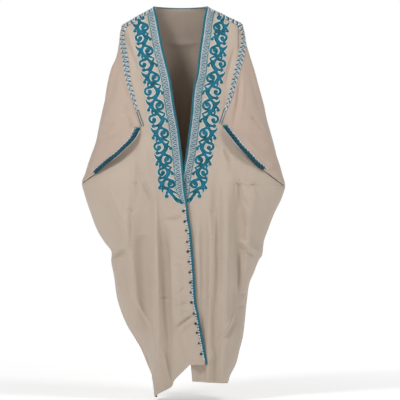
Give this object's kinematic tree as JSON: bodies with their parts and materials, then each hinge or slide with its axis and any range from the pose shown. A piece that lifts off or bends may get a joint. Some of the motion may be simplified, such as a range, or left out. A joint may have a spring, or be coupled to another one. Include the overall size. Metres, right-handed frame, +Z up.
{
  "type": "bisht",
  "caption": "Loose open-fronted cloak worn over the shoulders, with corded and banded front edges, scroll trim, braided shoulder seams and an arm slit on each side.",
  "frame": {"origin": "where the wearer carries it: midway between the shoulders, level with the neck ends of the two shoulder seams", "axes": "+Z up, fronts face -Y, the wearer's left is +X"},
  "size_m": [0.7342, 0.3335, 1.4134],
  "materials": {
    "wool": "fine plain-woven beige wool or wool blend, matt, slightly sheer",
    "teal_cord": "tightly twisted teal cord, sewn to the edge",
    "woven_band": "woven band of silver and teal metallic thread",
    "silver_braid": "silver-grey openwork braid with teal flecks",
    "cuff_braid": "dark teal stitched braid with a pale piped edge",
    "scroll_cord": "teal couched cord, satin"
  },
  "bodies": {
    "root": {"back": "wool", "front_right": "wool", "front_left": "wool", "edge_cord_right": "teal_cord", "edge_cord_left": "teal_cord", "neck_binding": "teal_cord", "front_band_right": "woven_band", "front_band_left": "woven_band", "seam_braid_right": "silver_braid", "seam_braid_left": "silver_braid", "cuff_braid_right": "cuff_braid", "cuff_braid_left": "cuff_braid", "scroll_right": "scroll_cord", "scroll_left": "scroll_cord"}
  },
  "joints": []
}
